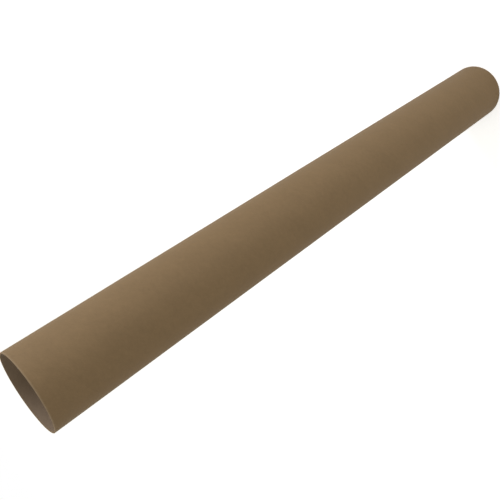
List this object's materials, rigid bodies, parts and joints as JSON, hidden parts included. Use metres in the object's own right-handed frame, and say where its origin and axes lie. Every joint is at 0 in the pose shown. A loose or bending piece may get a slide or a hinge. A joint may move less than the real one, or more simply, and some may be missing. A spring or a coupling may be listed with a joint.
{
  "type": "paper tube",
  "caption": "Long, straight, round kraft paper tube, open at both ends, with a thin stiff wall, for mailing, storing or winding rolled goods.",
  "frame": {"origin": "centre of the lower cut end, on the surface that the tube stands on", "axes": "+Z along the tube's axis, up from the end that it stands on; X and Y are free, because the tube is round"},
  "size_m": [0.1039, 0.104, 1],
  "materials": {
    "kraft": "smooth matt kraft paper"
  },
  "bodies": {
    "root": {"tube": "kraft"}
  },
  "joints": []
}
